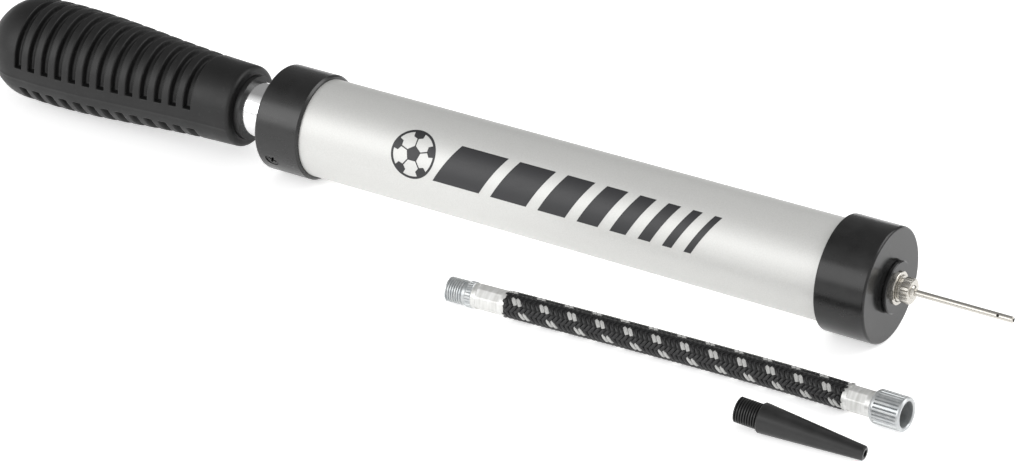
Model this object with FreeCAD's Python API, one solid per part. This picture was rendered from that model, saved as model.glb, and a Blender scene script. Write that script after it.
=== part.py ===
"""Hand pump for sports balls, with its needle fitted and two loose accessories beside it.

Millimetres, +Z up. The origin is on the pump's axis where the needle's tube leaves its hub.
+X runs along that axis to the needle's tip, and the pump lies on a surface at z = FLOOR_Z.
"""
import FreeCAD, Part
import math
import os

V = FreeCAD.Vector
AXIS_X = V(1, 0, 0)

# ---- driving dimensions -------------------------------------------------------------------
# barrel
BARREL_R = 16.0
BORE_R = 14.8
BARREL_TOP_X = -224.9
BARREL_FOOT_X = -13.8

# cap on the handle's side
TOP_CAP_R = 17.3
TOP_CAP_FACE_X = -226.9
TOP_CAP_END_X = -210.4
CAP_ROUND = 1.0
CAP_SCREW_X = -221.4
CAP_SCREW_ANGLE = 27.0
CAP_SCREW_HEAD_R = 2.5
CAP_SCREW_SHANK_R = 1.5
CAP_SCREW_SUNK = 0.35
CAP_SCREW_TIP_R = 10.2

# cap on the needle's side
OUTLET_CAP_R = 18.15
OUTLET_FACE_X = -8.0
OUTLET_CAP_END_X = -24.6
OUTLET_FLOOR_X = -12.6
OUTLET_ROUND = 0.8
BOSS_R = 8.2
BOSS_FACE_X = -5.7
INNER_BOSS_R = 8.0
INNER_BOSS_X = -25.5

# the small-bore thread that the outlet, needle, hose and nozzle share (32 turns to the inch)
THREAD_R = 3.87
THREAD_ROOT_R = 3.4
THREAD_BORE_R = 3.93
THREAD_PITCH = 25.4 / 32

# outlet bush and check valve
BUSH_R = 4.9
BUSH_FLANGE_R = 5.2
BUSH_FACE_X = -5.0
BUSH_END_X = -16.0
BUSH_BORE_END_X = -14.0
VALVE_CHAMBER_R = 4.0
VALVE_SEAT_X = -23.5
VALVE_HOLE_R = 1.6
POPPET_R = 3.2
POPPET_THICK = 1.5
POPPET_STEM_R = 1.3
SPRING_COIL_R = 2.3
SPRING_WIRE_R = 0.25
SPRING_TURNS = 5

# rod, piston and handle
ROD_R = 9.0
ROD_BORE_R = 8.0
ROD_FOOT_X = -52.0
ROD_TOP_X = -300.0
GUIDE_CLEARANCE = 0.06
GUIDE_END_X = -210.0
BUFFER_END_X = -207.0
PISTON_R = 14.5
PISTON_FACE_X = -36.0
PISTON_BACK_X = -50.0
RING_X = -41.0
RING_SECTION_R = 1.5
RING_CLEARANCE = 0.04
RING_GROOVE_HALF = 1.9
PISTON_SCREW_R = 2.0
CORE_FACE_X = -238.0
CORE_RING_R = 10.6
GRIP_FACE_X = -240.0
GRIP_END_X = -342.0
GRIP_TURN = 13.0
GROOVE_COUNT = 13
GROOVE_FIRST_X = -256.0
GROOVE_PITCH = 5.56
GROOVE_WIDTH = 2.75
GROOVE_DEPTH = 2.2
GROOVE_BAND = 4.1
PIN_R = 2.0
PIN_X = -288.0

# needle
NEEDLE_R = 1.0
NEEDLE_ROOT_R = 1.25
NEEDLE_BORE_R = 0.65
NEEDLE_TIP_X = 31.8
NEEDLE_SIDE_HOLE_X = 27.0
HUB_R = 4.0
HUB_KNURLS = 22

# surface that everything lies on
FLOOR_Z = -OUTLET_CAP_R

# extension hose
HOSE_R = 4.2
LINER_R = 2.9
LINER_BORE_R = 1.6
HOSE_ROUTE = (
    V(-111.9, -47.2, FLOOR_Z + 4.20),
    V(-88.0, -45.8, FLOOR_Z + 4.20),
    V(-60.0, -44.4, FLOOR_Z + 4.20),
    V(-32.0, -43.35, FLOOR_Z + 4.24),
    V(-12.0, -43.35, FLOOR_Z + 4.46),
    V(1.1, -44.15, FLOOR_Z + 4.88),
)
FERRULE_A_R = 3.93
FERRULE_A_LENGTH = 11.4
COLLAR_LENGTH = 2.1
COLLAR_R = 4.1
NECK_LENGTH = 1.4
NECK_R = 3.75
MALE_THREAD_LENGTH = 5.6
FERRULE_B_R = 3.93
FERRULE_B_LENGTH = 9.3
NUT_R = 5.2
NUT_LENGTH = 10.4
NUT_SHOULDER = 1.5
NUT_THREAD_LENGTH = 6.2
NUT_BACK_WALL = 1.5
NUT_KNURLS = 28
TAIL_FLANGE = 1.0
SEAL_THICK = 0.8

# cone nozzle
NOZZLE_LENGTH = 40.3
NOZZLE_THREAD_LENGTH = 7.2
NOZZLE_SHOULDER_S = 7.9
NOZZLE_SHOULDER_R = 4.6
NOZZLE_TIP_R = 2.2
NOZZLE_X = -22.0
NOZZLE_Y = -67.3
NOZZLE_YAW = 2.3

parts = {}


# ---- shapes -------------------------------------------------------------------------------
def turned(outline):
    """Solid of revolution about the X axis from a closed (x, radius) outline."""
    points = [V(x, 0, r) for x, r in outline]
    face = Part.Face(Part.makePolygon(points + points[:1]))
    return face.revolve(V(0, 0, 0), AXIS_X, 360)


def sleeve(x_low, x_high, outer, inner=0.0):
    """Cylinder or tube along the X axis."""
    body = Part.makeCylinder(outer, x_high - x_low, V(x_low, 0, 0), AXIS_X)
    if inner > 0:
        body = body.cut(Part.makeCylinder(inner, x_high - x_low, V(x_low, 0, 0), AXIS_X))
    return body


def rounded_rim(body, x_rim, radius, size):
    """Round the circular edge of the given radius that lies in the plane x = x_rim."""
    rims = []
    for edge in body.Edges:
        curve = edge.Curve
        if not isinstance(curve, Part.Circle):
            continue
        if abs(curve.Center.x - x_rim) < 0.01 and abs(curve.Radius - radius) < 0.01:
            rims.append(edge)
    return body.makeFillet(size, rims)


def along(shape, start, direction):
    """Move a shape built along +X so that it starts at a point and runs along a direction."""
    moved = shape.copy()
    moved.Placement = FreeCAD.Placement(start, FreeCAD.Rotation(AXIS_X, direction))
    return moved


def knurled(body, x_low, x_high, radius, count, depth):
    """Straight knurl: V-shaped grooves along X, spaced evenly round the body."""
    half = math.pi * radius / count * 0.62
    wedge = Part.Face(Part.makePolygon([
        V(x_low, -half, radius + 0.15),
        V(x_low, half, radius + 0.15),
        V(x_low, 0, radius - depth),
        V(x_low, -half, radius + 0.15),
    ])).extrude(V(x_high - x_low, 0, 0))
    cutters = []
    for step in range(count):
        cutter = wedge.copy()
        cutter.rotate(V(0, 0, 0), AXIS_X, 360.0 * step / count)
        cutters.append(cutter)
    return body.cut(Part.makeCompound(cutters))


def threaded_outline(x_start, length):
    """Outer outline points of a thread drawn as rings, from x_start towards +X."""
    points = [(x_start, THREAD_ROOT_R)]
    turns = int(length / THREAD_PITCH)
    flank = 0.3 * THREAD_PITCH
    for turn in range(turns):
        x_ring = x_start + turn * THREAD_PITCH
        points.append((x_ring + flank, THREAD_R))
        points.append((x_ring + THREAD_PITCH - flank, THREAD_R))
        points.append((x_ring + THREAD_PITCH, THREAD_ROOT_R))
    return points


def spring(x_low, x_high, coil_r, wire_r, turns):
    """Open coil spring along X."""
    pitch = (x_high - x_low - 2 * wire_r) / turns
    helix = Part.makeHelix(pitch, pitch * turns, coil_r)
    section = Part.Wire(Part.makeCircle(wire_r, V(coil_r, 0, 0), V(0, 1, 0)))
    coil = Part.Wire(helix.Edges).makePipeShell([section], True, True)
    coil.rotate(V(0, 0, 0), V(0, 1, 0), 90)
    coil.translate(V(x_low + wire_r, 0, 0))
    return coil


def cord_path(route):
    """Straight runs joined by tangent arcs, each arc as large as its two runs allow."""
    edges = []
    at = route[0]
    for before, corner, after in zip(route, route[1:], route[2:]):
        come = (corner - before).normalize()
        leave = (after - corner).normalize()
        turn = come.getAngle(leave)
        back = 0.45 * min((corner - before).Length, (after - corner).Length)
        print("bend radius %.0f mm" % (back / math.tan(turn / 2)))
        start = corner - come * back
        end = corner + leave * back
        middle_line = (leave - come).normalize()
        sagitta = back * math.tan(turn / 4)
        chord_middle = (start + end) * 0.5
        middle = chord_middle - middle_line * sagitta * math.cos(turn / 2)
        edges.append(Part.LineSegment(at, start).toShape())
        edges.append(Part.Arc(start, middle, end).toShape())
        at = end
    edges.append(Part.LineSegment(at, route[-1]).toShape())
    return Part.Wire(edges)


def tube_along(path, outer, inner):
    """Round tube swept along a path."""
    start = path.Edges[0].valueAt(path.Edges[0].FirstParameter)
    heading = path.Edges[0].tangentAt(path.Edges[0].FirstParameter)
    walls = []
    for radius in (outer, inner):
        section = Part.Wire(Part.makeCircle(radius, start, heading))
        walls.append(path.makePipeShell([section], True, True))
    tube = walls[0].cut(walls[1])
    wanted = math.pi * (outer ** 2 - inner ** 2) * path.Length
    print("tube volume over section times length: %.4f" % (tube.Volume / wanted))
    return tube


# ---- barrel and its caps ------------------------------------------------------------------
def radial_direction(angle):
    """Direction at an angle below the horizontal, on the pump's front (-Y) side."""
    return V(0, -math.cos(math.radians(angle)), -math.sin(math.radians(angle)))


SCREW_DIRECTIONS = (radial_direction(CAP_SCREW_ANGLE), radial_direction(CAP_SCREW_ANGLE + 180))


def screw_blank(head_top_r):
    """Countersunk screw along +X with its point at CAP_SCREW_TIP_R and its head's top outward."""
    cone = CAP_SCREW_HEAD_R - CAP_SCREW_SHANK_R
    return turned([
        (CAP_SCREW_TIP_R, 0),
        (CAP_SCREW_TIP_R + 1.0, CAP_SCREW_SHANK_R),
        (TOP_CAP_R - CAP_SCREW_SUNK - cone, CAP_SCREW_SHANK_R),
        (TOP_CAP_R - CAP_SCREW_SUNK, CAP_SCREW_HEAD_R),
        (head_top_r, CAP_SCREW_HEAD_R),
        (head_top_r, 0),
    ])


def screw_space():
    """Room for both cap screws, out through the cap's surface."""
    holes = []
    for direction in SCREW_DIRECTIONS:
        holes.append(along(screw_blank(TOP_CAP_R + 2), V(CAP_SCREW_X, 0, 0), direction))
    return Part.makeCompound(holes)


def cap_screws():
    top = TOP_CAP_R - CAP_SCREW_SUNK + 0.05
    screw = screw_blank(top)
    slot_width = 0.7
    slot_length = 2.9
    slot_depth = 1.1
    for long_y in (True, False):
        wide = slot_length if long_y else slot_width
        tall = slot_width if long_y else slot_length
        screw = screw.cut(Part.makeBox(slot_depth + 1, wide, tall,
                                       V(top - slot_depth, -wide / 2, -tall / 2)))
    placed = [along(screw, V(CAP_SCREW_X, 0, 0), way) for way in SCREW_DIRECTIONS]
    return Part.makeCompound(placed)


def barrel_tube():
    tube = sleeve(BARREL_TOP_X, BARREL_FOOT_X, BARREL_R, BORE_R)
    return tube.cut(screw_space())


def top_cap():
    lip = 0.6
    cap = turned([
        (TOP_CAP_FACE_X, ROD_R + 0.8),
        (TOP_CAP_FACE_X, TOP_CAP_R),
        (TOP_CAP_END_X - lip, TOP_CAP_R),
        (TOP_CAP_END_X, TOP_CAP_R - lip),
        (TOP_CAP_END_X, BARREL_R),
        (BARREL_TOP_X, BARREL_R),
        (BARREL_TOP_X, ROD_R + 0.8),
    ])
    cap = rounded_rim(cap, TOP_CAP_FACE_X, TOP_CAP_R, CAP_ROUND)
    return cap.cut(screw_space())


def rod_guide_bush():
    bush = sleeve(BARREL_TOP_X, GUIDE_END_X, BORE_R, ROD_R + GUIDE_CLEARANCE)
    return bush.cut(screw_space())


def top_buffer():
    return rounded_rim(sleeve(GUIDE_END_X, BUFFER_END_X, BORE_R - 0.5, ROD_R + 0.5),
                       BUFFER_END_X, BORE_R - 0.5, 0.8)


def outlet_cap():
    groove_r = BOSS_R - 1.0
    groove_low = OUTLET_FACE_X + 0.7
    groove_high = groove_low + 0.6
    cap = turned([
        (OUTLET_CAP_END_X, BARREL_R),
        (OUTLET_CAP_END_X, OUTLET_CAP_R),
        (OUTLET_FACE_X, OUTLET_CAP_R),
        (OUTLET_FACE_X, BOSS_R + 0.2),
        (groove_low, BOSS_R + 0.2),
        (groove_low, groove_r),
        (groove_high, groove_r),
        (groove_high, BOSS_R),
        (BOSS_FACE_X - 0.3, BOSS_R),
        (BOSS_FACE_X, BOSS_R - 0.3),
        (BOSS_FACE_X, BUSH_R),
        (BUSH_END_X, BUSH_R),
        (BUSH_END_X, VALVE_CHAMBER_R),
        (VALVE_SEAT_X, VALVE_CHAMBER_R),
        (VALVE_SEAT_X, VALVE_HOLE_R),
        (INNER_BOSS_X, VALVE_HOLE_R),
        (INNER_BOSS_X, INNER_BOSS_R),
        (OUTLET_FLOOR_X, INNER_BOSS_R),
        (OUTLET_FLOOR_X, BARREL_R),
    ])
    cap = rounded_rim(cap, OUTLET_FACE_X, OUTLET_CAP_R, OUTLET_ROUND)
    return rounded_rim(cap, OUTLET_CAP_END_X, OUTLET_CAP_R, OUTLET_ROUND / 2)


def barrel_gasket():
    return sleeve(BARREL_FOOT_X, OUTLET_FLOOR_X, BARREL_R, BORE_R - 1.0)


def outlet_bush():
    recess_r = THREAD_BORE_R + 0.35
    bush = turned([
        (BUSH_END_X, VALVE_HOLE_R),
        (BUSH_END_X, BUSH_R),
        (BOSS_FACE_X, BUSH_R),
        (BOSS_FACE_X, BUSH_FLANGE_R),
        (BUSH_FACE_X - 0.15, BUSH_FLANGE_R),
        (BUSH_FACE_X, BUSH_FLANGE_R - 0.15),
        (BUSH_FACE_X, recess_r),
        (BUSH_FACE_X - 0.35, THREAD_BORE_R),
        (BUSH_BORE_END_X, THREAD_BORE_R),
        (BUSH_BORE_END_X, VALVE_HOLE_R),
    ])
    flat_distance = BUSH_FLANGE_R - 0.35
    for side in (-1, 1):
        flat = Part.makeBox(BUSH_FACE_X - BOSS_FACE_X, 2, 4 * BUSH_FLANGE_R,
                            V(BOSS_FACE_X, flat_distance if side > 0 else -flat_distance - 2,
                              -2 * BUSH_FLANGE_R))
        bush = bush.cut(flat)
    return bush


def check_valve():
    stem_x = VALVE_SEAT_X + POPPET_THICK
    return turned([
        (VALVE_SEAT_X, 0),
        (VALVE_SEAT_X, POPPET_R - 0.3),
        (VALVE_SEAT_X + 0.3, POPPET_R),
        (stem_x, POPPET_R),
        (stem_x, POPPET_STEM_R),
        (stem_x + 2.6, POPPET_STEM_R),
        (stem_x + 3.0, POPPET_STEM_R - 0.4),
        (stem_x + 3.0, 0),
    ])


def valve_spring():
    gap = 0.03
    low = VALVE_SEAT_X + POPPET_THICK + gap
    return spring(low, BUSH_END_X - gap, SPRING_COIL_R, SPRING_WIRE_R, SPRING_TURNS)


def barrel_group():
    parts["barrel_tube"] = barrel_tube()
    parts["top_cap"] = top_cap()
    parts["cap_screws"] = cap_screws()
    parts["rod_guide_bush"] = rod_guide_bush()
    parts["top_buffer"] = top_buffer()
    parts["outlet_cap"] = outlet_cap()
    parts["barrel_gasket"] = barrel_gasket()
    parts["outlet_bush"] = outlet_bush()
    parts["check_valve"] = check_valve()
    parts["valve_spring"] = valve_spring()


# ---- plunger ------------------------------------------------------------------------------
def grip_curve():
    """Outer line of the rubber grip, from behind its front rim to the end of its dome."""
    shape = ((0, 13.5), (14, 14.0), (30, 15.0), (44, 16.1), (58, 17.0), (72, 17.4), (84, 17.2),
             (93, 15.3), (98.5, 10.8))
    front_x = GRIP_FACE_X - 1.5
    points = [V(front_x - back, 0, r) for back, r in shape]
    points.append(V(GRIP_END_X, 0, 0))
    curve = Part.BSplineCurve()
    curve.interpolate(points, InitialTangent=V(-1, 0, 0.02), FinalTangent=V(0, 0, -1))
    return curve


def core_outline():
    """Outer line of the hard core, front to back."""
    return [(CORE_FACE_X, ROD_R), (CORE_FACE_X, CORE_RING_R), (-248.0, CORE_RING_R),
            (-290.0, 12.8), (-322.0, 13.0), (-334.0, 8.0), (-336.0, 0.0)]


def pin_space():
    return Part.makeCylinder(PIN_R, 24.6, V(PIN_X, 0, -12.3), V(0, 0, 1))


def handle_core():
    core = turned(core_outline() + [(ROD_TOP_X, 0), (ROD_TOP_X, ROD_R)])
    return core.cut(pin_space())


def grip():
    curve = grip_curve()
    start = curve.value(curve.FirstParameter)
    rim = Part.Arc(V(GRIP_FACE_X, 0, start.z - 1.5),
                   V(GRIP_FACE_X - 0.44, 0, start.z - 0.44), start)
    face_line = Part.LineSegment(V(GRIP_FACE_X, 0, 0), V(GRIP_FACE_X, 0, start.z - 1.5))
    axis_line = Part.LineSegment(V(GRIP_END_X, 0, 0), V(GRIP_FACE_X, 0, 0))
    wire = Part.Wire([face_line.toShape(), rim.toShape(), curve.toShape(), axis_line.toShape()])
    body = Part.Face(wire).revolve(V(0, 0, 0), AXIS_X, 360)
    body = body.cut(turned([(CORE_FACE_X, 0)] + core_outline()[1:]))
    for index in range(GROOVE_COUNT):
        x_mid = GROOVE_FIRST_X - index * GROOVE_PITCH
        body = body.cut(groove_pair(curve, x_mid))
    body.rotate(V(0, 0, 0), AXIS_X, GRIP_TURN)
    return body


def groove_pair(curve, x_mid):
    """One groove, cut in the upper and the lower half and stopped short of the parting plane."""
    line = Part.LineSegment(V(x_mid, 0, 0), V(x_mid, 0, 30))
    surface_r = curve.intersect(line)[0].Z
    low = x_mid - GROOVE_WIDTH / 2
    ring = sleeve(low, low + GROOVE_WIDTH, surface_r + 5, surface_r - GROOVE_DEPTH)
    band = Part.makeBox(GROOVE_WIDTH + 2, 80, 2 * GROOVE_BAND, V(low - 1, -40, -GROOVE_BAND))
    return ring.cut(band)


def rod_tube():
    return sleeve(ROD_TOP_X, ROD_FOOT_X, ROD_R, ROD_BORE_R).cut(pin_space())


def rod_plug():
    return turned([
        (-72.0, PISTON_SCREW_R),
        (-72.0, ROD_BORE_R - 1.0),
        (-71.0, ROD_BORE_R),
        (ROD_FOOT_X, ROD_BORE_R),
        (ROD_FOOT_X, ROD_R),
        (PISTON_BACK_X, ROD_R),
        (PISTON_BACK_X, PISTON_SCREW_R),
    ])


def piston_body():
    groove_low = RING_X - RING_GROOVE_HALF
    groove_high = RING_X + RING_GROOVE_HALF
    groove_r = BORE_R - RING_CLEARANCE - 2 * RING_SECTION_R - 0.3
    head_seat_x = PISTON_FACE_X - 3.5
    return turned([
        (PISTON_BACK_X, PISTON_SCREW_R),
        (PISTON_BACK_X, PISTON_R - 0.5),
        (PISTON_BACK_X + 0.5, PISTON_R),
        (groove_low, PISTON_R),
        (groove_low, groove_r),
        (groove_high, groove_r),
        (groove_high, PISTON_R),
        (PISTON_FACE_X - 0.5, PISTON_R),
        (PISTON_FACE_X, PISTON_R - 0.5),
        (PISTON_FACE_X, 4.3),
        (head_seat_x, 4.3),
        (head_seat_x, PISTON_SCREW_R),
    ])


def piston_ring():
    middle_r = BORE_R - RING_CLEARANCE - RING_SECTION_R
    return Part.makeTorus(middle_r, RING_SECTION_R, V(RING_X, 0, 0), AXIS_X)


def piston_screw():
    head_seat_x = PISTON_FACE_X - 3.5
    screw = turned([
        (-64.0, 0),
        (-62.5, PISTON_SCREW_R),
        (head_seat_x, PISTON_SCREW_R),
        (head_seat_x, 3.8),
        (head_seat_x + 1.6, 3.8),
        (head_seat_x + 2.4, 2.6),
        (head_seat_x + 2.4, 0),
    ])
    for wide, tall in ((4.0, 0.9), (0.9, 4.0)):
        screw = screw.cut(Part.makeBox(3, wide, tall, V(head_seat_x + 1.0, -wide / 2, -tall / 2)))
    return screw


def plunger_group():
    parts["rod_tube"] = rod_tube()
    parts["rod_plug"] = rod_plug()
    parts["piston_body"] = piston_body()
    parts["piston_ring"] = piston_ring()
    parts["piston_screw"] = piston_screw()
    parts["handle_core"] = handle_core()
    parts["handle_pin"] = pin_space()
    parts["grip"] = grip()


# ---- needle -------------------------------------------------------------------------------
NEEDLE_THREAD_X = -12.4
NEEDLE_THREAD_TURNS = 10
HUB_BACK_X = -3.6
HUB_FRONT_X = -0.8


def outlet_seal():
    return sleeve(BUSH_BORE_END_X + 0.03, NEEDLE_THREAD_X - 0.03, THREAD_BORE_R - 0.25, VALVE_HOLE_R)


def needle_hub():
    outline = threaded_outline(NEEDLE_THREAD_X, NEEDLE_THREAD_TURNS * THREAD_PITCH + 0.01)
    hub = turned([(NEEDLE_THREAD_X, NEEDLE_ROOT_R)] + outline + [
        (HUB_BACK_X - 0.2, THREAD_ROOT_R),
        (HUB_BACK_X - 0.2, HUB_R - 0.25),
        (HUB_BACK_X + 0.1, HUB_R),
        (HUB_FRONT_X - 0.3, HUB_R),
        (HUB_FRONT_X, HUB_R - 0.4),
        (HUB_FRONT_X, 2.1),
        (-0.3, 1.9),
        (0.0, 1.5),
        (0.0, NEEDLE_ROOT_R),
    ])
    return knurled(hub, HUB_BACK_X - 0.3, HUB_FRONT_X + 0.1, HUB_R, HUB_KNURLS, 0.3)


def needle_tube():
    tip_round = 0.25
    tube = turned([
        (NEEDLE_THREAD_X, NEEDLE_BORE_R),
        (NEEDLE_THREAD_X, NEEDLE_ROOT_R),
        (0.0, NEEDLE_ROOT_R),
        (0.0, NEEDLE_R),
        (NEEDLE_TIP_X - tip_round, NEEDLE_R),
        (NEEDLE_TIP_X, NEEDLE_R - tip_round),
        (NEEDLE_TIP_X, NEEDLE_BORE_R),
    ])
    side_hole = Part.makeCylinder(0.45, 3, V(NEEDLE_SIDE_HOLE_X, 0, 0), radial_direction(-30))
    return tube.cut(side_hole)


def needle_group():
    parts["outlet_seal"] = outlet_seal()
    parts["needle_hub"] = needle_hub()
    parts["needle_tube"] = needle_tube()


# ---- extension hose -----------------------------------------------------------------------
def male_fitting():
    """Along +X from the thread's end; the barb sits in the liner."""
    collar_x = MALE_THREAD_LENGTH + NECK_LENGTH
    ferrule_x = collar_x + COLLAR_LENGTH
    rings = threaded_outline(0.0, MALE_THREAD_LENGTH)
    body = turned([(0, 1.0)] + rings + [
        (MALE_THREAD_LENGTH, THREAD_ROOT_R),
        (MALE_THREAD_LENGTH + 0.3, NECK_R),
        (collar_x - 0.2, NECK_R),
        (collar_x, COLLAR_R - 0.2),
        (collar_x + 0.2, COLLAR_R),
        (ferrule_x - 0.2, COLLAR_R),
        (ferrule_x, COLLAR_R - 0.2),
        (ferrule_x, LINER_BORE_R),
        (ferrule_x + 9.0, LINER_BORE_R),
        (ferrule_x + 9.0, 1.0),
    ])
    return knurled(body, collar_x - 0.1, ferrule_x + 0.1, COLLAR_R, 26, 0.25)


def ferrule(outer, length):
    """Crimped sleeve: a round collar with eight pressed flats along its middle."""
    sleeve_body = sleeve(0, length, outer, LINER_R)
    cuts = []
    for step in range(8):
        flat = Part.makeBox(length - 3.0, 6, 2, V(1.5, -3, outer * math.cos(math.pi / 8) + 0.1))
        flat.rotate(V(0, 0, 0), AXIS_X, 45.0 * step)
        cuts.append(flat)
    return sleeve_body.cut(Part.makeCompound(cuts))


def hose_tail():
    """Along +X from inside the liner: barb, neck through the nut's back wall, and flange."""
    flange_low = FERRULE_B_LENGTH + NUT_BACK_WALL + 0.1
    return turned([
        (1.0, 1.0),
        (1.0, LINER_BORE_R),
        (FERRULE_B_LENGTH, LINER_BORE_R),
        (FERRULE_B_LENGTH, 2.6),
        (flange_low, 2.6),
        (flange_low, 3.6),
        (flange_low + TAIL_FLANGE, 3.6),
        (flange_low + TAIL_FLANGE, 1.0),
    ])


def hose_nut():
    """Along +X from its back wall to its open threaded mouth."""
    thread_low = NUT_LENGTH - NUT_THREAD_LENGTH
    body = turned([
        (0, 2.66),
        (0, NUT_R),
        (NUT_LENGTH - 0.4, NUT_R),
        (NUT_LENGTH, NUT_R - 0.4),
        (NUT_LENGTH, THREAD_BORE_R + 0.3),
        (NUT_LENGTH - 0.3, THREAD_BORE_R),
        (thread_low, THREAD_BORE_R),
        (thread_low, THREAD_BORE_R + 0.2),
        (NUT_BACK_WALL, THREAD_BORE_R + 0.2),
        (NUT_BACK_WALL, 2.66),
    ])
    body = rounded_rim(body, 0, NUT_R, NUT_SHOULDER)
    return knurled(body, NUT_SHOULDER + 0.2, NUT_LENGTH - 0.9, NUT_R, NUT_KNURLS, 0.45)


def nut_seal():
    """Rubber washer on the tail's flange, along +X from the ferrule's start."""
    start = FERRULE_B_LENGTH + NUT_BACK_WALL + TAIL_FLANGE + 0.15
    return sleeve(start, start + SEAL_THICK, THREAD_BORE_R - 0.2, 1.3)


def hose_group():
    path = cord_path(HOSE_ROUTE)
    print("hose path %.1f mm" % path.Length)
    parts["hose_braid"] = tube_along(path, HOSE_R, LINER_R)

    back_way = (HOSE_ROUTE[0] - HOSE_ROUTE[1]).normalize()
    male_length = FERRULE_A_LENGTH + COLLAR_LENGTH + NECK_LENGTH + MALE_THREAD_LENGTH
    male_start = HOSE_ROUTE[0] + back_way * male_length
    front_way = (HOSE_ROUTE[-1] - HOSE_ROUTE[-2]).normalize()
    front_start = HOSE_ROUTE[-1]

    back_end = Part.LineSegment(HOSE_ROUTE[0] + back_way * FERRULE_A_LENGTH, HOSE_ROUTE[0])
    front_end = Part.LineSegment(front_start, front_start + front_way * FERRULE_B_LENGTH)
    liner_path = Part.Wire([back_end.toShape()] + path.Edges + [front_end.toShape()])
    parts["hose_liner"] = tube_along(liner_path, LINER_R, LINER_BORE_R)

    forward = back_way * -1
    parts["hose_male_fitting"] = along(male_fitting(), male_start, forward)
    ferrule_a_start = HOSE_ROUTE[0] + back_way * FERRULE_A_LENGTH
    parts["hose_ferrule_a"] = along(ferrule(FERRULE_A_R, FERRULE_A_LENGTH), ferrule_a_start, forward)
    parts["hose_ferrule_b"] = along(ferrule(FERRULE_B_R, FERRULE_B_LENGTH), front_start, front_way)
    parts["hose_tail"] = along(hose_tail(), front_start, front_way)
    parts["nut_seal"] = along(nut_seal(), front_start, front_way)
    nut_start = front_start + front_way * (FERRULE_B_LENGTH + 0.05)
    parts["hose_nut"] = along(hose_nut(), nut_start, front_way)
    mouth = nut_start + front_way * NUT_LENGTH
    print("male thread end", male_start, "pointing", back_way)
    print("nut mouth", mouth, "pointing", front_way)


# ---- cone nozzle --------------------------------------------------------------------------
def nozzle_adapter():
    """One moulding with a hole right through, lying on its shoulder and its tip."""
    rings = threaded_outline(0.0, NOZZLE_THREAD_LENGTH)
    body = turned([(0, 2.3)] + rings + [
        (NOZZLE_SHOULDER_S - 0.5, THREAD_ROOT_R),
        (NOZZLE_SHOULDER_S - 0.35, NOZZLE_SHOULDER_R - 0.3),
        (NOZZLE_SHOULDER_S, NOZZLE_SHOULDER_R),
        (NOZZLE_LENGTH - 0.4, NOZZLE_TIP_R),
        (NOZZLE_LENGTH, NOZZLE_TIP_R - 0.4),
        (NOZZLE_LENGTH, 1.1),
        (16.0, 1.1),
        (10.0, 2.3),
    ])
    run = NOZZLE_LENGTH - NOZZLE_SHOULDER_S
    slope = math.asin((NOZZLE_SHOULDER_R - NOZZLE_TIP_R) / run)
    yaw = math.radians(NOZZLE_YAW)
    direction = V(math.cos(slope) * math.cos(yaw), math.cos(slope) * math.sin(yaw), -math.sin(slope))
    shoulder_z = FLOOR_Z + NOZZLE_SHOULDER_R + 0.02
    start = V(NOZZLE_X, NOZZLE_Y, shoulder_z + math.sin(slope) * NOZZLE_SHOULDER_S)
    print("nozzle thread end", start, "pointing", direction * -1)
    return along(body, start, direction)


# ---- write --------------------------------------------------------------------------------
def main():
    barrel_group()
    plunger_group()
    needle_group()
    hose_group()
    parts["nozzle_adapter"] = nozzle_adapter()
    os.makedirs("parts", exist_ok=True)
    for name, shape in parts.items():
        solids = len(shape.Solids)
        if not shape.isValid() or solids < 1:
            print("PROBLEM", name, "valid", shape.isValid(), "solids", solids)
        if solids == 1:
            shape = shape.Solids[0]
        shape.exportStep("parts/%s.step" % name)
    print(len(parts), "nodes")


main()
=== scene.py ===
"""Hand pump for sports balls with its hose and nozzle: looks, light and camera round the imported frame."""
import math

import bmesh
import bpy
import numpy as np
from mathutils import Matrix, Vector


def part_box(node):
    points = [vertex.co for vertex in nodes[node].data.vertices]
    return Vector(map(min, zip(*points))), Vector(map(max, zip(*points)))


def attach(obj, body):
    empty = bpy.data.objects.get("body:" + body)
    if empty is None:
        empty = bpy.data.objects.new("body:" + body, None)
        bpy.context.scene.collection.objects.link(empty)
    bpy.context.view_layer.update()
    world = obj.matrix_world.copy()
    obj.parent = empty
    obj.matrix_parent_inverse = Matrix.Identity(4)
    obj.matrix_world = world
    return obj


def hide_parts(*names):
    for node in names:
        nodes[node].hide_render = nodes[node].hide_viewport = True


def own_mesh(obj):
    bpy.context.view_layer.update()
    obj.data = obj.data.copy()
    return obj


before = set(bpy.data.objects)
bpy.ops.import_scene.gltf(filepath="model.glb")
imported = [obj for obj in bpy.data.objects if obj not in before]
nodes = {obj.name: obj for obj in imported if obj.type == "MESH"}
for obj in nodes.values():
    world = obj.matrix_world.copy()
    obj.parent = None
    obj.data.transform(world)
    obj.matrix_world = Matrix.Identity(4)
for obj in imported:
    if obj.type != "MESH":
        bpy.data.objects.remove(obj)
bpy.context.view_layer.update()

MM = 0.001
scene = bpy.context.scene

# ---- places, in millimetres in the row frame ---------------------------------------------
FLOOR_Z = -18.15
BARREL_R = 16.0

# hose route, repeated from the part's source
HOSE_ROUTE = (
    (-111.9, -47.2, FLOOR_Z + 4.20),
    (-88.0, -45.8, FLOOR_Z + 4.20),
    (-60.0, -44.4, FLOOR_Z + 4.20),
    (-32.0, -43.35, FLOOR_Z + 4.24),
    (-12.0, -43.35, FLOOR_Z + 4.46),
    (1.1, -44.15, FLOOR_Z + 4.88),
)


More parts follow.
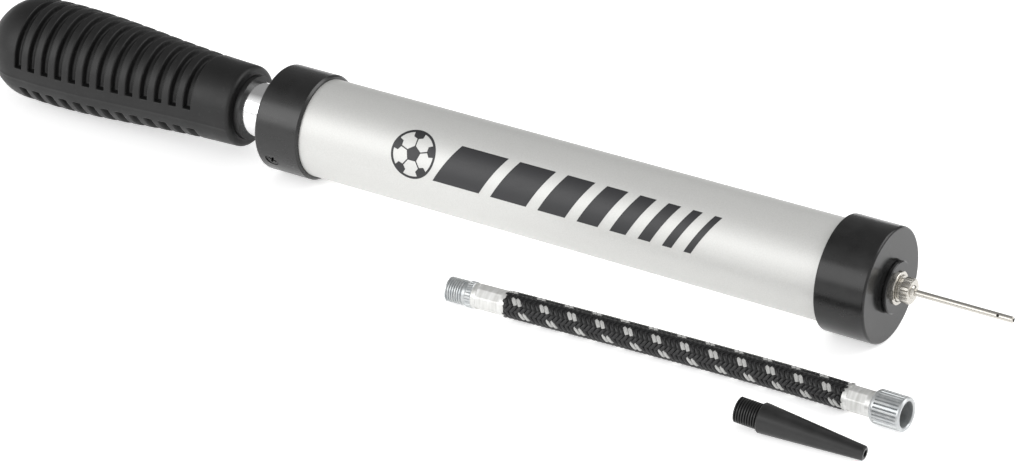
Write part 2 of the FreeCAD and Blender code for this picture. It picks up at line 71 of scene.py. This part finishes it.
# ---- camera -------------------------------------------------------------------------------
def make_camera():
    azimuth = math.radians(32.345)
    elevation = math.radians(27.675)
    roll = math.radians(0.35)
    distance = 1214.4
    target = Vector((-142.2, 0.0, -18.4))
    back = Vector((math.sin(azimuth) * math.cos(elevation),
                   -math.cos(azimuth) * math.cos(elevation),
                   math.sin(elevation)))
    level = Vector((math.cos(azimuth), math.sin(azimuth), 0.0))
    upward = back.cross(level)
    right = level * math.cos(roll) - upward * math.sin(roll)
    upward = back.cross(right)
    turn = Matrix((right, upward, back)).transposed().to_4x4()
    data = bpy.data.cameras.new("camera")
    data.sensor_width = 36.0
    data.lens = 137.07
    data.clip_start = 0.05
    data.clip_end = 50.0
    camera = bpy.data.objects.new("camera", data)
    camera.matrix_world = Matrix.Translation((target + back * distance) * MM) @ turn
    scene.collection.objects.link(camera)
    scene.camera = camera


# ---- node helpers -------------------------------------------------------------------------
class Paint:
    """A material's node tree with short calls for the textures that the finishes share."""

    def __init__(self, name, colour, metallic=0.0, roughness=0.5):
        self.material = bpy.data.materials.new(name)
        self.material.use_nodes = True
        self.tree = self.material.node_tree
        self.shader = self.tree.nodes["Principled BSDF"]
        self.set("Base Color", (*colour, 1.0))
        self.set("Metallic", metallic)
        self.set("Roughness", roughness)
        self.place = self.tree.nodes.new("ShaderNodeTexCoord").outputs["Object"]

    def set(self, socket, value):
        self.shader.inputs[socket].default_value = value

    def link(self, output, socket):
        self.tree.links.new(output, socket)

    def noise(self, scale, detail=2.0, stretch=(1, 1, 1)):
        """Noise over the piece; scale is in features per metre."""
        mapping = self.tree.nodes.new("ShaderNodeMapping")
        mapping.inputs["Scale"].default_value = stretch
        self.link(self.place, mapping.inputs["Vector"])
        node = self.tree.nodes.new("ShaderNodeTexNoise")
        node.inputs["Scale"].default_value = scale
        node.inputs["Detail"].default_value = detail
        node.inputs["Roughness"].default_value = 0.5
        self.link(mapping.outputs["Vector"], node.inputs["Vector"])
        return node.outputs["Fac"]

    def spread(self, value, low, high, from_low=0.3, from_high=0.7):
        """Map a 0 to 1 value onto a range."""
        node = self.tree.nodes.new("ShaderNodeMapRange")
        node.inputs["From Min"].default_value = from_low
        node.inputs["From Max"].default_value = from_high
        node.inputs["To Min"].default_value = low
        node.inputs["To Max"].default_value = high
        self.link(value, node.inputs["Value"])
        return node.outputs["Result"]

    def blend(self, value, colour_a, colour_b):
        """Colour between two, by a 0 to 1 value."""
        node = self.tree.nodes.new("ShaderNodeMix")
        node.data_type = "RGBA"
        node.inputs["A"].default_value = (*colour_a, 1.0)
        node.inputs["B"].default_value = (*colour_b, 1.0)
        self.link(value, node.inputs["Factor"])
        return node.outputs["Result"]

    def math(self, operation, first, second):
        node = self.tree.nodes.new("ShaderNodeMath")
        node.operation = operation
        for socket, value in zip(node.inputs, (first, second)):
            if isinstance(value, (int, float)):
                socket.default_value = value
            else:
                self.link(value, socket)
        return node.outputs["Value"]

    def bump(self, height, depth_mm):
        """Surface relief of a given depth, from a 0 to 1 height; calls add up."""
        node = self.tree.nodes.new("ShaderNodeBump")
        node.inputs["Strength"].default_value = 1.0
        node.inputs["Distance"].default_value = depth_mm * MM
        self.link(height, node.inputs["Height"])
        before = self.shader.inputs["Normal"].links
        if before:
            self.link(before[0].from_socket, node.inputs["Normal"])
        self.link(node.outputs["Normal"], self.shader.inputs["Normal"])

    def colour(self, output):
        self.link(output, self.shader.inputs["Base Color"])

    def roughness(self, output):
        self.link(output, self.shader.inputs["Roughness"])


# ---- finishes -----------------------------------------------------------------------------
def anodised_aluminium():
    """Satin silver: fine pale grain with a soft sheen."""
    paint = Paint("anodised_aluminium", (0.58, 0.58, 0.565), metallic=0.4, roughness=0.48)
    grain = paint.noise(2600, detail=3.0)
    broad = paint.noise(60, detail=2.0, stretch=(0.25, 1, 1))
    tone = paint.math("ADD", paint.spread(grain, 0.0, 0.75), paint.spread(broad, 0.0, 0.25))
    paint.colour(paint.blend(tone, (0.54, 0.54, 0.525), (0.62, 0.62, 0.605)))
    paint.roughness(paint.spread(grain, 0.42, 0.54))
    paint.bump(grain, 0.012)
    return paint.material


def polished_aluminium():
    """Drawn tube, polished, with faint rings where the guide has rubbed it."""
    paint = Paint("polished_aluminium", (0.90, 0.90, 0.90), metallic=1.0, roughness=0.1)
    rings = paint.noise(500, detail=3.0, stretch=(4, 0.2, 0.2))
    paint.roughness(paint.spread(rings, 0.07, 0.2))
    paint.bump(rings, 0.003)
    return paint.material


def black_plastic(name, tone, roughness, mottle, depth_mm, specular=0.45):
    """Moulded black plastic: slightly uneven gloss and faint handling scratches."""
    paint = Paint(name, (tone, tone, tone), roughness=roughness)
    cloud = paint.noise(220, detail=4.0)
    scratch = paint.noise(900, detail=2.0, stretch=(0.15, 1, 1))
    level = paint.math("ADD", paint.spread(cloud, 0.0, mottle), paint.spread(scratch, 0.0, mottle))
    paint.roughness(paint.math("ADD", level, roughness))
    paint.colour(paint.blend(paint.spread(cloud, 0.0, 1.0), (0.75 * tone,) * 3, (1.25 * tone,) * 3))
    paint.bump(cloud, depth_mm)
    paint.set("Specular IOR Level", specular)
    return paint.material


def grip_rubber():
    """Soft matt rubber with moulding mottle and a trace of dust."""
    paint = Paint("grip_rubber", (0.012, 0.012, 0.012), roughness=0.5)
    fine = paint.noise(2800, detail=2.0)
    cloud = paint.noise(160, detail=5.0)
    dust = paint.spread(paint.noise(700, detail=4.0), 0.0, 1.0, 0.62, 0.8)
    paint.colour(paint.blend(dust, (0.006, 0.006, 0.006), (0.022, 0.022, 0.022)))
    paint.roughness(paint.math("ADD", paint.spread(cloud, 0.40, 0.52), paint.spread(dust, 0.0, 0.2)))
    paint.bump(cloud, 0.05)
    paint.bump(fine, 0.012)
    paint.set("Specular IOR Level", 0.36)
    return paint.material


def nickel():
    paint = Paint("nickel", (0.52, 0.50, 0.46), metallic=0.9, roughness=0.22)
    marks = paint.noise(900, detail=4.0, stretch=(0.3, 1, 1))
    paint.roughness(paint.spread(marks, 0.16, 0.32))
    paint.bump(marks, 0.006)
    return paint.material


def zinc():
    """Bright zinc plate, a little cloudy."""
    paint = Paint("zinc_plate", (0.47, 0.48, 0.49), metallic=0.7, roughness=0.35)
    cloud = paint.noise(500, detail=4.0)
    paint.colour(paint.blend(paint.spread(cloud, 0.0, 1.0), (0.40, 0.42, 0.43), (0.54, 0.55, 0.55)))
    paint.roughness(paint.spread(cloud, 0.28, 0.44))
    paint.bump(cloud, 0.01)
    return paint.material


def crimped_aluminium():
    """Pressed sleeve with drag marks along it."""
    paint = Paint("crimped_aluminium", (0.64, 0.64, 0.63), metallic=0.55, roughness=0.4)
    drag = paint.noise(1500, detail=3.0, stretch=(0.08, 1, 1))
    press = paint.noise(900, detail=3.0, stretch=(1, 0.12, 0.12))
    paint.colour(paint.blend(paint.spread(press, 0.0, 1.0), (0.52, 0.52, 0.50), (0.72, 0.72, 0.71)))
    paint.roughness(paint.spread(drag, 0.32, 0.5))
    paint.bump(drag, 0.03)
    paint.bump(press, 0.02)
    return paint.material


def plain(name, colour, metallic, roughness, scale, depth_mm):
    """Finish of a small or hidden piece: even colour with its own grain."""
    paint = Paint(name, colour, metallic=metallic, roughness=roughness)
    grain = paint.noise(scale, detail=3.0)
    paint.roughness(paint.spread(grain, roughness * 0.8, roughness * 1.25))
    paint.bump(grain, depth_mm)
    return paint.material


def print_ink():
    paint = Paint("print_ink", (0.014, 0.014, 0.016), roughness=0.42)
    grain = paint.noise(2400, detail=2.0)
    paint.roughness(paint.spread(grain, 0.36, 0.5))
    paint.bump(grain, 0.006)
    return paint.material


def yarn(name, colour_low, colour_high, smoothest, roughest):
    """Twisted textile yarn, whose filaments run along the strand."""
    paint = Paint(name, colour_low, roughness=0.5)
    along = paint.tree.nodes.new("ShaderNodeUVMap")
    along.uv_map = "strand"
    mapping = paint.tree.nodes.new("ShaderNodeMapping")
    mapping.inputs["Scale"].default_value = (0.35, 6.0, 1.0)
    mapping.inputs["Rotation"].default_value = (0.0, 0.0, 0.35)
    paint.link(along.outputs["UV"], mapping.inputs["Vector"])
    filaments = paint.tree.nodes.new("ShaderNodeTexNoise")
    filaments.inputs["Scale"].default_value = 5.0
    filaments.inputs["Detail"].default_value = 3.0
    paint.link(mapping.outputs["Vector"], filaments.inputs["Vector"])
    fuzz = filaments.outputs["Fac"]
    paint.colour(paint.blend(paint.spread(fuzz, 0.0, 1.0), colour_low, colour_high))
    paint.roughness(paint.spread(fuzz, smoothest, roughest))
    paint.bump(fuzz, 0.06)
    paint.set("Specular IOR Level", 0.4)
    return paint.material


# ---- mesh helpers -------------------------------------------------------------------------
def new_mesh(name, verts, faces):
    """Smooth-shaded object from millimetre vertices."""
    mesh = bpy.data.meshes.new(name)
    mesh.from_pydata([tuple(c * MM for c in v) for v in verts], [], faces)
    mesh.validate()
    mesh.update()
    mesh.polygons.foreach_set("use_smooth", [True] * len(mesh.polygons))
    piece = bpy.data.objects.new(name, mesh)
    scene.collection.objects.link(piece)
    return piece


def outward(piece):
    """Make every face look outwards."""
    shape = bmesh.new()
    shape.from_mesh(piece.data)
    bmesh.ops.recalc_face_normals(shape, faces=shape.faces)
    shape.to_mesh(piece.data)
    shape.free()


def finish_with(piece, material, body, slot, *replaced):
    piece.data.materials.append(material)
    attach(piece, body)
    if replaced:
        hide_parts(*replaced)


# ---- grip ---------------------------------------------------------------------------------
GRIP_FACE_X = -240.0
GRIP_END_X = -342.0
GRIP_TURN = math.radians(13.0)
GROOVE_COUNT = 13
GROOVE_FIRST_X = -256.0
GROOVE_PITCH = 5.56
GROOVE_DEPTH = 2.2
GRIP_RIM = 1.5
GRIP_FRONT_R = 13.5
GRIP_BORE_R = 10.62
GRIP_DOME_R = 17.15
GRIP_DOME_BACK = 84
SEAM_HEIGHT = 0.09


def smooth_line(points, steps):
    """Catmull-Rom line through 2-D points."""
    line = []
    ends = [tuple(2 * a - b for a, b in zip(points[0], points[1]))]
    ends += list(points)
    ends.append(tuple(2 * a - b for a, b in zip(points[-1], points[-2])))
    for p0, p1, p2, p3 in zip(ends, ends[1:], ends[2:], ends[3:]):
        for step in range(steps):
            t = step / steps
            line.append(tuple(
                0.5 * (2 * b + (c - a) * t + (2 * a - 5 * b + 4 * c - d) * t ** 2
                       + (3 * b - a - 3 * c + d) * t ** 3)
                for a, b, c, d in zip(p0, p1, p2, p3)))
    line.append(points[-1])
    return line


def grip_rows():
    """Rows of the grip's skin from its bore's end round to its dome: (x, radius, groove depth)."""
    front = GRIP_FACE_X - GRIP_RIM
    body = [(front - back, r) for back, r in (
        (0, GRIP_FRONT_R), (14, 14.0), (30, 15.0), (44, 16.1), (58, 17.0), (72, 17.4),
        (GRIP_DOME_BACK, GRIP_DOME_R))]
    line = smooth_line(body, 12)
    xs = [x for x, r in reversed(line)]
    radii = [r for x, r in reversed(line)]
    rows = []
    for x, r in ((-335.9, 0.0), (-334.0, 8.0), (-322.0, 13.0), (-290.0, 12.8), (-248.0, GRIP_BORE_R)):
        rows.append((x, r, 0.0))
    rows.append((GRIP_FACE_X + 0.35, GRIP_BORE_R, 0.0))
    rows.append((GRIP_FACE_X, 10.95, 0.0))
    rows.append((GRIP_FACE_X, 11.5, 0.0))
    for step in range(6):
        turn = math.radians(90 * step / 5)
        rows.append((front + GRIP_RIM * math.cos(turn),
                     GRIP_FRONT_R - GRIP_RIM * (1 - math.sin(turn)), 0.0))
    wall = ((2.0, 0.0), (1.6, 0.0), (1.44, 0.10), (1.32, 0.5), (1.18, 0.9), (0.95, 1.0), (0.4, 1.0))
    outer = [front - 2 - 2.4 * k for k in range(6)]
    grooved = [(x, 0.0) for x in outer if x > GROOVE_FIRST_X + 2.2]
    for index in range(GROOVE_COUNT):
        middle = GROOVE_FIRST_X - index * GROOVE_PITCH
        grooved.extend((middle + offset, share) for offset, share in wall)
        grooved.extend((middle - offset, share) for offset, share in reversed(wall))
        grooved.append((middle - GROOVE_PITCH / 2, 0.0))
    for x, share in grooved:
        rows.append((x, float(np.interp(x, xs, radii)), share * GROOVE_DEPTH))
    dome_x = front - GRIP_DOME_BACK
    for step in range(1, 19):
        turn = math.radians(90 * step / 18)
        x = dome_x - (dome_x - GRIP_END_X) * math.sin(turn)
        rows.append((x, GRIP_DOME_R * math.cos(turn) ** 0.92, 0.0))
    rows[-1] = (GRIP_END_X, 0.0, 0.0)
    return rows


def grip_columns():
    """Columns of one quarter: (height above the parting plane or None, angle, groove share, seam)."""
    columns = [(0.0, None, 0.0, 1.0), (0.28, None, 0.0, 0.0), (1.4, None, 0.0, 0.0),
               (2.6, None, 0.0, 0.0), (3.5, None, 0.0, 0.0), (3.85, None, 0.0, 0.0),
               (4.0, None, 0.12, 0.0), (4.12, None, 0.5, 0.0), (4.26, None, 0.9, 0.0),
               (4.5, None, 1.0, 0.0), (5.2, None, 1.0, 0.0)]
    for degrees in range(29, 90, 4):
        columns.append((None, degrees, 1.0, 0.0))
    return columns


def make_grip():
    quarter = grip_columns()
    around = []
    for flip in range(4):
        ordered = quarter if flip % 2 == 0 else quarter[::-1]
        for height, degrees, share, seam in ordered:
            around.append((flip, height, degrees, share, seam))
    verts = []
    counts = []
    for x, r, depth in grip_rows():
        ring = []
        if r <= 0.0:
            ring.append(len(verts))
            verts.append((x, 0.0, 0.0))
            counts.append(ring)
            continue
        seen = set()
        for flip, height, degrees, share, seam in around:
            if degrees is None:
                angle = math.asin(height / max(r, 13.4))
            else:
                angle = math.radians(degrees)
            if flip == 1:
                angle = math.pi - angle
            elif flip == 2:
                angle = math.pi + angle
            elif flip == 3:
                angle = 2 * math.pi - angle
            key = round(math.degrees(angle) % 360, 5)
            if key in seen:
                continue
            seen.add(key)
            radius = r - depth * share
            if seam and x < GRIP_FACE_X and r > 12.0:
                radius += SEAM_HEIGHT
            turned = GRIP_TURN - angle
            ring.append(len(verts))
            verts.append((x, -radius * math.cos(turned), -radius * math.sin(turned)))
        counts.append(ring)
    faces = []
    for low, high in zip(counts, counts[1:]):
        for k in range(max(len(low), len(high))):
            a, b = low[k % len(low)], low[(k + 1) % len(low)]
            d, c = high[k % len(high)], high[(k + 1) % len(high)]
            corners = [a]
            for corner in (b, c, d):
                if corner not in corners:
                    corners.append(corner)
            faces.append(corners)
    piece = new_mesh("grip_skin", verts, faces)
    outward(piece)
    finish_with(piece, grip_rubber(), "plunger", "grip_rubber", "grip")


# ---- print on the barrel ------------------------------------------------------------------
PRINT_X = -122.0
PRINT_ANGLE = math.radians(29.0)
PRINT_LIFT = 0.03


def polar(centre, radius, degrees):
    return (centre + radius * math.cos(math.radians(degrees)), radius * math.sin(math.radians(degrees)))


def print_shapes():
    """Flat outlines of a generic ball sign followed by slanted bars that narrow to the right."""
    ball = -46.0
    shapes = []
    steps = 60
    outer, inner = 8.0, 7.2
    for k in range(steps):
        low, high = 360.0 * k / steps, 360.0 * (k + 1) / steps
        shapes.append([polar(ball, inner, low), polar(ball, outer, low),
                       polar(ball, outer, high), polar(ball, inner, high)])
    shapes.append([polar(ball, 2.7, 90 + 72 * k) for k in range(5)])
    for k in range(5):
        spoke = 90 + 72 * k
        shapes.append([polar(ball, 4.9, spoke), polar(ball, 5.7, spoke - 17),
                       polar(ball, 7.25, spoke - 15), polar(ball, 7.25, spoke),
                       polar(ball, 7.25, spoke + 15), polar(ball, 5.7, spoke + 17)])
        shapes.append([polar(ball, 2.6, spoke - 4), polar(ball, 5.0, spoke - 2.6),
                       polar(ball, 5.0, spoke + 2.6), polar(ball, 2.6, spoke + 4)])
    left = -34.0
    half = 6.6
    lean = 3.6
    width = 17.0
    while width > 2.0:
        shapes.append([(left - lean, -half), (left + width - lean, -half),
                       (left + width + lean, half), (left + lean, half)])
        left += width + 4.2
        width *= 0.76
    return shapes


def make_print():
    """Ink shapes cut into strips, wrapped on the barrel and given the ink's thickness."""
    shape = bmesh.new()
    for outline in print_shapes():
        shape.faces.new([shape.verts.new((p, q, 0)) for p, q in outline])
    for level in range(-17, 18):
        everything = shape.verts[:] + shape.edges[:] + shape.faces[:]
        bmesh.ops.bisect_plane(shape, geom=everything, plane_co=(0, level * 0.5, 0),
                               plane_no=(0, 1, 0))
    skin = bmesh.ops.extrude_face_region(shape, geom=shape.faces[:])
    lifted = {v for v in skin["geom"] if isinstance(v, bmesh.types.BMVert)}
    for vert in shape.verts:
        radius = BARREL_R + (PRINT_LIFT if vert in lifted else 0.004)
        angle = PRINT_ANGLE + vert.co.y / BARREL_R
        vert.co = Vector((PRINT_X + vert.co.x, -radius * math.cos(angle),
                          radius * math.sin(angle))) * MM
    bmesh.ops.recalc_face_normals(shape, faces=shape.faces)
    mesh = bpy.data.meshes.new("barrel_print")
    shape.to_mesh(mesh)
    shape.free()
    piece = bpy.data.objects.new("barrel_print", mesh)
    scene.collection.objects.link(piece)
    finish_with(piece, print_ink(), "barrel", "black_screw")


# ---- hose ---------------------------------------------------------------------------------
CARRIERS = 12
BRAID_PITCH = 18.85
BRAID_MEAN_R = 3.82
BRAID_WAVE = 0.16
BRAID_TURN = math.radians(17.0)
BRAID_SHIFT = 1.25
YARN_HALF_WIDTH = 0.62
YARN_HALF_THICK = 0.26
TRACERS = (0, 1, 6, 7)
CORE_R = 3.55
FERRULE_R = 3.93


def hose_line():
    """The route as a NURBS spline object with no thickness."""
    curve = bpy.data.curves.new("hose_line", "CURVE")
    curve.dimensions = "3D"
    curve.resolution_u = 24
    spline = curve.splines.new("NURBS")
    spline.points.add(len(HOSE_ROUTE) - 1)
    for point, place in zip(spline.points, HOSE_ROUTE):
        point.co = (*(c * MM for c in place), 1.0)
    spline.order_u = 3
    spline.use_endpoint_u = True
    line = bpy.data.objects.new("hose_line", curve)
    scene.collection.objects.link(line)
    return line


def line_points(line):
    bpy.context.view_layer.update()
    mesh = bpy.data.meshes.new_from_object(line)
    points = np.array([v.co[:] for v in mesh.vertices]) / MM
    bpy.data.meshes.remove(mesh)
    return points


class Route:
    """Place and cross directions at any distance along a line of points."""

    def __init__(self, points):
        steps = np.linalg.norm(np.diff(points, axis=0), axis=1)
        self.at = np.concatenate(([0.0], np.cumsum(steps)))
        self.points = points
        self.length = float(self.at[-1])

    def place(self, distance):
        """Point on the line, which runs on straight past its ends."""
        inside = min(max(distance, 0.0), self.length)
        place = np.array([np.interp(inside, self.at, self.points[:, k]) for k in range(3)])
        if distance != inside:
            pair = self.points[:2] if distance < 0.0 else self.points[-2:]
            heading = (pair[1] - pair[0]) / np.linalg.norm(pair[1] - pair[0])
            place += heading * (distance - inside)
        return place

    def frame(self, distance):
        heading = self.place(distance + 1.0) - self.place(distance - 1.0)
        heading /= np.linalg.norm(heading)
        side = np.cross(heading, (0.0, 0.0, 1.0))
        side /= np.linalg.norm(side)
        return heading, side, np.cross(side, heading)


def braid_strand(route, carrier, sense):
    """Rings of one strand: a flat yarn that winds round the hose and dives under the others."""
    per_turn = 4 * CARRIERS * 2
    uneven = math.sin(7.0 * carrier + 3.0 * sense)
    low = 0.1 + 0.3 * math.cos(5.0 * carrier + sense)
    high = route.length + 0.05 + 0.75 * uneven
    count = int((high - low) / BRAID_PITCH * per_turn)
    rings = []
    for step in range(count + 1):
        s = low + (high - low) * step / count
        angle = 2 * math.pi * (sense * (s + BRAID_SHIFT) / BRAID_PITCH + carrier / CARRIERS)
        phase = angle * CARRIERS / 2 + math.pi / 8
        over = math.cos(phase) * sense
        lift = BRAID_WAVE * max(-1.0, min(1.0, 1.6 * over))
        beyond = min(max(-s, s - route.length, 0.0) / 0.3, 1.0)
        lift += beyond * (FERRULE_R + YARN_HALF_THICK - BRAID_MEAN_R - lift)
        angle += BRAID_TURN
        heading, side, up = route.frame(s)
        out = side * math.cos(angle) - up * math.sin(angle)
        spin = -side * math.sin(angle) - up * math.cos(angle)
        centre = route.place(s) + out * (BRAID_MEAN_R + lift)
        lead = heading + spin * sense * 2 * math.pi * BRAID_MEAN_R / BRAID_PITCH
        lead /= np.linalg.norm(lead)
        across = np.cross(lead, out)
        rings.append((centre, out, across))
    return rings


def make_braid(route):
    """All the strands as one mesh, with the pale tracer strands in the second material."""
    sides = 8
    ring_u = 0.2
    verts, faces, groups, uvs = [], [], [], []
    for sense in (1, -1):
        for carrier in range(CARRIERS):
            rings = braid_strand(route, carrier, sense)
            tracer = 1 if sense == 1 and carrier in TRACERS else 0
            first = len(verts)
            for centre, out, across in rings:
                for side in range(sides):
                    turn = 2 * math.pi * side / sides
                    verts.append(tuple(centre + across * YARN_HALF_WIDTH * math.cos(turn)
                                       + out * YARN_HALF_THICK * math.sin(turn)))
            for row in range(len(rings) - 1):
                for side in range(sides):
                    a = first + row * sides + side
                    b = first + row * sides + (side + 1) % sides
                    faces.append((a, b, b + sides, a + sides))
                    groups.append(tracer)
                    u = row * ring_u
                    uvs.append(((u, side / sides), (u, (side + 1) / sides),
                                (u + ring_u, (side + 1) / sides), (u + ring_u, side / sides)))
            faces.append(tuple(first + side for side in range(sides))[::-1])
            faces.append(tuple(first + (len(rings) - 1) * sides + side for side in range(sides)))
            groups.extend((tracer, tracer))
            uvs.extend((((0, 0),) * sides,) * 2)
    piece = new_mesh("hose_weave", verts, faces)
    layer = piece.data.uv_layers.new(name="strand")
    layer.data.foreach_set("uv", [c for face in uvs for corner in face for c in corner])
    piece.data.materials.append(yarn("braid_black", (0.0025, 0.0025, 0.003),
                                     (0.009, 0.009, 0.0095), 0.22, 0.42))
    piece.data.materials.append(yarn("braid_tracer", (0.28, 0.28, 0.27), (0.52, 0.52, 0.51),
                                     0.32, 0.55))
    piece.data.polygons.foreach_set("material_index", groups)
    outward(piece)
    return piece


def make_hose():
    line = hose_line()
    points = line_points(line)
    route = Route(points)
    core = line
    core.name = "hose_core"
    core.data.bevel_depth = CORE_R * MM
    core.data.bevel_resolution = 6
    core.data.use_fill_caps = True
    core.data.materials.append(plain("hose_rubber", (0.012, 0.012, 0.012), 0.0, 0.6, 900, 0.03))
    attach(core, "hose")
    weave = make_braid(route)
    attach(weave, "hose")
    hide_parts("hose_braid")
    fitted = [core]
    fitted += [nodes[name] for name in ("hose_male_fitting", "hose_ferrule_a", "hose_ferrule_b",
                                        "hose_tail", "nut_seal", "hose_nut", "hose_liner")]


# ---- valve spring -------------------------------------------------------------------------
SPRING_COIL_R = 2.3
SPRING_WIRE_R = 0.25
SPRING_TURNS = 5


def make_spring():
    """The same coil as the CAD's, built at one fixed length; the real spring shortens as the valve opens
    against it.
    """
    low, high = (corner[0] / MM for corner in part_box("valve_spring"))
    sides = 8
    per_turn = 36
    rings = SPRING_TURNS * per_turn + 1
    pitch = (high - low - 2 * SPRING_WIRE_R) / SPRING_TURNS
    verts, faces = [], []
    for ring in range(rings):
        turn = 2 * math.pi * ring / per_turn
        for side in range(sides):
            round_wire = 2 * math.pi * side / sides
            radius = SPRING_COIL_R + SPRING_WIRE_R * math.cos(round_wire)
            verts.append((low + SPRING_WIRE_R + pitch * ring / per_turn
                          + SPRING_WIRE_R * math.sin(round_wire),
                          radius * math.sin(turn), -radius * math.cos(turn)))
    for ring in range(rings - 1):
        for side in range(sides):
            a = ring * sides + side
            b = ring * sides + (side + 1) % sides
            faces.append((a, b, b + sides, a + sides))
    faces.append(tuple(range(sides))[::-1])
    faces.append(tuple((rings - 1) * sides + side for side in range(sides)))
    piece = new_mesh("valve_coil", verts, faces)
    outward(piece)
    finish_with(piece, plain("coil_steel", (0.62, 0.62, 0.62), 1.0, 0.25, 1500, 0.004), "barrel",
                "spring_steel", "valve_spring")
    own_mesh(piece)


# ---- CAD nodes' finishes ------------------------------------------------------------------
def dress(material, *names):
    for name in names:
        piece = nodes[name]
        if piece.material_slots:
            for slot in piece.material_slots:
                slot.material = material
        else:
            piece.data.materials.append(material)


def dress_nodes():
    dress(anodised_aluminium(), "barrel_tube")
    dress(polished_aluminium(), "rod_tube")
    dress(black_plastic("cap_plastic", 0.006, 0.25, 0.04, 0.010, 0.55), "top_cap")
    dress(black_plastic("outlet_plastic", 0.012, 0.20, 0.04, 0.006, 0.35), "outlet_cap")
    dress(black_plastic("core_plastic", 0.010, 0.34, 0.05, 0.01), "handle_core")
    dress(black_plastic("nozzle_plastic", 0.011, 0.26, 0.09, 0.02), "nozzle_adapter")
    dress(plain("black_oxide", (0.03, 0.03, 0.03), 0.6, 0.3, 1200, 0.004), "cap_screws")
    dress(nickel(), "outlet_bush", "needle_hub", "needle_tube")
    dress(zinc(), "hose_male_fitting", "hose_nut", "hose_tail", "piston_screw")
    dress(crimped_aluminium(), "hose_ferrule_a", "hose_ferrule_b")
    dress(plain("seal_rubber", (0.02, 0.02, 0.02), 0.0, 0.55, 900, 0.02), "top_buffer",
          "barrel_gasket", "check_valve", "piston_ring", "outlet_seal", "hose_liner", "nut_seal")
    dress(plain("guide_plastic", (0.82, 0.81, 0.77), 0.0, 0.4, 600, 0.01), "rod_guide_bush",
          "rod_plug", "piston_body")
    dress(plain("spring_steel", (0.62, 0.62, 0.62), 1.0, 0.25, 1500, 0.004), "handle_pin")


# ---- floor and light ----------------------------------------------------------------------
def make_floor():
    half = 6.0
    mesh = bpy.data.meshes.new("floor")
    mesh.from_pydata([(-half, -half, 0), (half, -half, 0), (half, half, 0), (-half, half, 0)], [],
                     [(0, 1, 2, 3)])
    floor = bpy.data.objects.new("floor", mesh)
    floor.location.z = (FLOOR_Z - 0.02) * MM
    scene.collection.objects.link(floor)
    paint = Paint("floor_paper", (0.95, 0.95, 0.95), roughness=0.9)
    fibre = paint.noise(400, detail=3.0)
    paint.colour(paint.blend(fibre, (0.94, 0.94, 0.94), (0.96, 0.96, 0.96)))
    paint.set("Emission Color", (1.0, 1.0, 1.0, 1.0))
    paint.set("Emission Strength", 0.5)
    floor.data.materials.append(paint.material)


def make_world():
    """Pale surroundings in front, dark ones overhead and behind."""
    world = bpy.data.worlds.new("studio")
    world.use_nodes = True
    scene.world = world
    tree = world.node_tree
    background = tree.nodes["Background"]
    place = tree.nodes.new("ShaderNodeTexCoord")
    upward_and_back = tree.nodes.new("ShaderNodeVectorMath")
    upward_and_back.operation = "DOT_PRODUCT"
    upward_and_back.inputs[1].default_value = (0.0, 1.0, 0.9)
    ramp = tree.nodes.new("ShaderNodeValToRGB")
    ramp.color_ramp.elements[0].position = 0.2
    ramp.color_ramp.elements[0].color = (1.0, 1.0, 1.0, 1.0)
    ramp.color_ramp.elements[1].position = 0.7
    ramp.color_ramp.elements[1].color = (0.34, 0.34, 0.34, 1.0)
    tree.links.new(place.outputs["Generated"], upward_and_back.inputs[0])
    tree.links.new(upward_and_back.outputs["Value"], ramp.inputs["Fac"])
    tree.links.new(ramp.outputs["Color"], background.inputs["Color"])
    background.inputs["Strength"].default_value = 0.9


def soft_box(name, place, aim, width, height, watts):
    data = bpy.data.lights.new(name, "AREA")
    data.shape = "RECTANGLE"
    data.size = width
    data.size_y = height
    data.energy = watts
    light = bpy.data.objects.new(name, data)
    way = Vector(aim) - Vector(place)
    light.matrix_world = Matrix.Translation(place) @ way.to_track_quat("-Z", "Y").to_matrix().to_4x4()
    scene.collection.objects.link(light)


def make_light():
    make_world()
    soft_box("front_box", (-0.73, -0.98, 0.50), (-0.14, 0.0, 0.0), 1.2, 0.7, 6.2)
    soft_box("back_box", (0.35, 0.35, 0.60), (-0.10, 0.0, 0.0), 0.7, 0.7, 5.0)


make_camera()
make_hose()
make_grip()
make_print()
make_spring()
dress_nodes()
make_floor()
make_light()
scene.view_settings.view_transform = "Standard"
